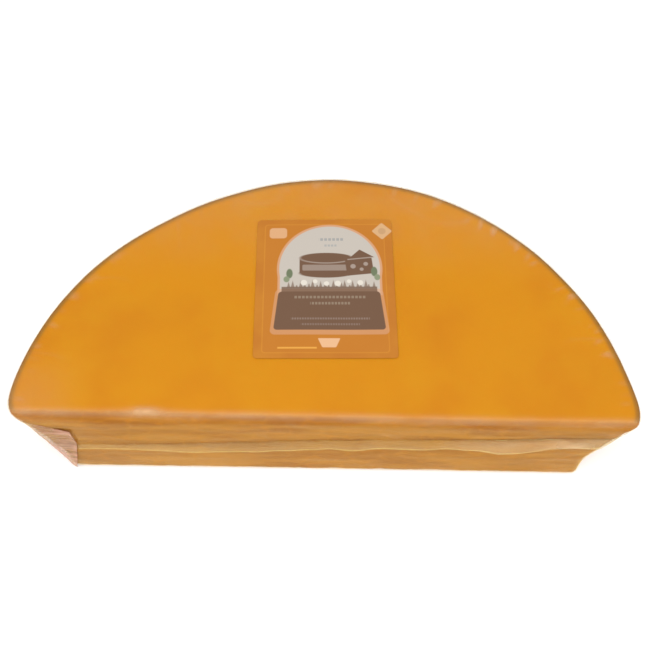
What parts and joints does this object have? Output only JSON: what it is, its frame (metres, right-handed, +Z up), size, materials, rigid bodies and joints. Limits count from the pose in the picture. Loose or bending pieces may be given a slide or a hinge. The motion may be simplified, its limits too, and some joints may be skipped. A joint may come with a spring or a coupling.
{
  "type": "half cheese wheel",
  "caption": "Half wheel of orange semi-hard cheese lying flat, vacuum packed in clear film with a sealed seam at mid height and a paper label on top.",
  "frame": {"origin": "centre of the pack's underside, on the surface it rests on", "axes": "+X along the cut face, to the right when the cut face looks at you; -Y out of the cut face; +Z up, out of the labelled face"},
  "size_m": [0.3312, 0.1618, 0.0675],
  "materials": {
    "cheese": "dense orange semi-hard cheese, smooth skin, fine curd texture on the cut face",
    "clear_film": "clear glossy vacuum film, drawn tight, hazy in its folds",
    "label_paper": "satin printed paper"
  },
  "bodies": {
    "root": {"cheese_half_wheel": "cheese", "film_top_web": "clear_film", "film_bottom_web": "clear_film", "label": "label_paper"}
  },
  "joints": []
}
